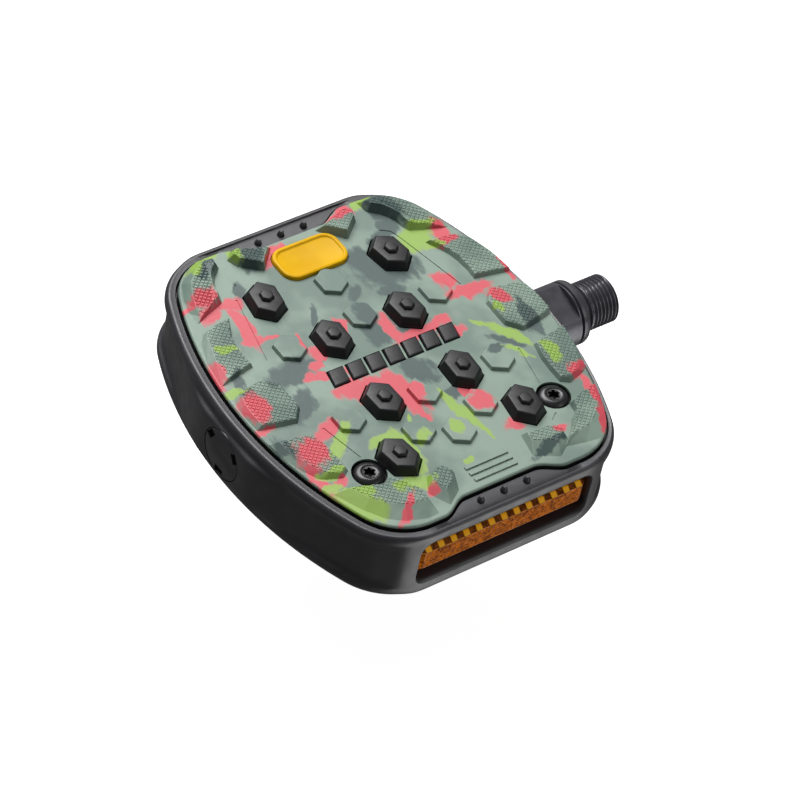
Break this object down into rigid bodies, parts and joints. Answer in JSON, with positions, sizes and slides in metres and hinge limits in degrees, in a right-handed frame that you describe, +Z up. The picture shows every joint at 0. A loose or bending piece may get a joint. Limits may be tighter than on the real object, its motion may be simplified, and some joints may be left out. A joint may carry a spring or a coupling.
{
  "type": "flat bicycle pedal",
  "caption": "Flat bicycle pedal: moulded platform with six-sided studs, a screwed-on rubber tread pad on each face, reflectors in both ends and a threaded spindle with bearings.",
  "frame": {"origin": "centre of the crank seat, the flange face on the spindle axis that closes against the crank arm", "axes": "+X along the spindle towards the crank, +Z up from the platform's upper tread face, -Y towards the end where the upper pad's screws are"},
  "size_m": [0.1302, 0.1146, 0.033],
  "materials": {
    "spindle_steel": "satin black",
    "bearing_steel": "ground",
    "zinc_steel": "zinc plated",
    "ball_steel": "polished",
    "cage_brass": "satin",
    "body_composite": "satin charcoal",
    "pad_rubber": "matte, printed in green, slate, pink and lime",
    "badge_yellow": "satin yellow",
    "screw_steel": "black oxide",
    "insert_brass": "knurled",
    "amber_lens": "clear amber with moulded prisms",
    "reflector_back": "satin",
    "cap_composite": "satin charcoal",
    "seal_rubber": "matte black",
    "bush_polymer": "satin"
  },
  "bodies": {
    "spindle_body": {"spindle": "spindle_steel", "bearing_inner_ring": "bearing_steel", "thrust_washer": "bearing_steel", "lock_nut": "zinc_steel"},
    "platform_body": {"pedal_body": "body_composite", "top_pad": "pad_rubber", "bottom_pad": "pad_rubber", "top_badge": "badge_yellow", "bottom_badge": "badge_yellow", "top_pad_screws": "screw_steel", "bottom_pad_screws": "screw_steel", "top_screw_inserts": "insert_brass", "bottom_screw_inserts": "insert_brass", "front_lens": "amber_lens", "rear_lens": "amber_lens", "front_reflector_back": "reflector_back", "rear_reflector_back": "reflector_back", "end_cap": "cap_composite", "end_cap_o_ring": "seal_rubber", "bearing_outer_ring": "bearing_steel", "bearing_shield": "seal_rubber", "inboard_bush": "bush_polymer", "lip_seal": "seal_rubber"},
    "ball_set": {"bearing_balls": "ball_steel", "bearing_cage": "cage_brass"}
  },
  "joints": [
    {"name": "platform_spin", "type": "hinge", "parent": "spindle_body", "child": "platform_body", "pos_m": [0, 0, 0], "axis": [1, 0, 0], "continuous": true},
    {"name": "ball_set_spin", "type": "hinge", "parent": "spindle_body", "child": "ball_set", "pos_m": [0, 0, 0], "axis": [1, 0, 0], "continuous": true}
  ],
  "couplings": [
    {"joint": "ball_set_spin", "follows": "platform_spin", "ratio": 0.64286}
  ]
}
